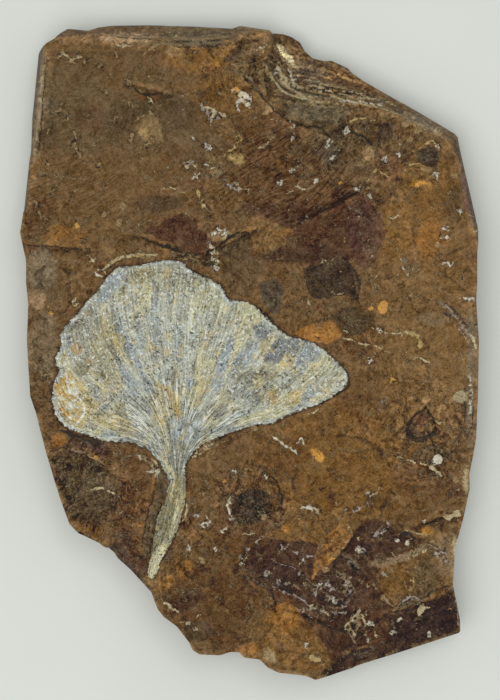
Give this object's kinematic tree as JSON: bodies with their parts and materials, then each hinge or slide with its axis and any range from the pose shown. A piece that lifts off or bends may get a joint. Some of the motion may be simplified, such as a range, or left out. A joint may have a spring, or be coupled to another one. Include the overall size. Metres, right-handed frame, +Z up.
{
  "type": "fossil ginkgo leaf",
  "caption": "Fossil ginkgo leaf, a pale mineralised fan-shaped blade with its petiole, in the face of a broken slab of rusty brown shale that lies flat for display.",
  "frame": {"origin": "on the flat underside, under the middle of the slab", "axes": "+Z up out of the bedding face that carries the leaf, +Y along the slab's length, from the petiole's tip towards the top of the blade, +X to the right as the leaf is looked at"},
  "size_m": [0.1, 0.1435, 0.0172],
  "materials": {
    "brown_shale": "dull to satin rusty brown rock, mottled with ochre, maroon and grey, with pale crystals",
    "pale_leaf_mineral": "matt cream and blue-grey mineral with fine ribs that fan out from the petiole"
  },
  "bodies": {
    "root": {"matrix_slab": "brown_shale", "ginkgo_leaf": "pale_leaf_mineral"}
  },
  "joints": []
}
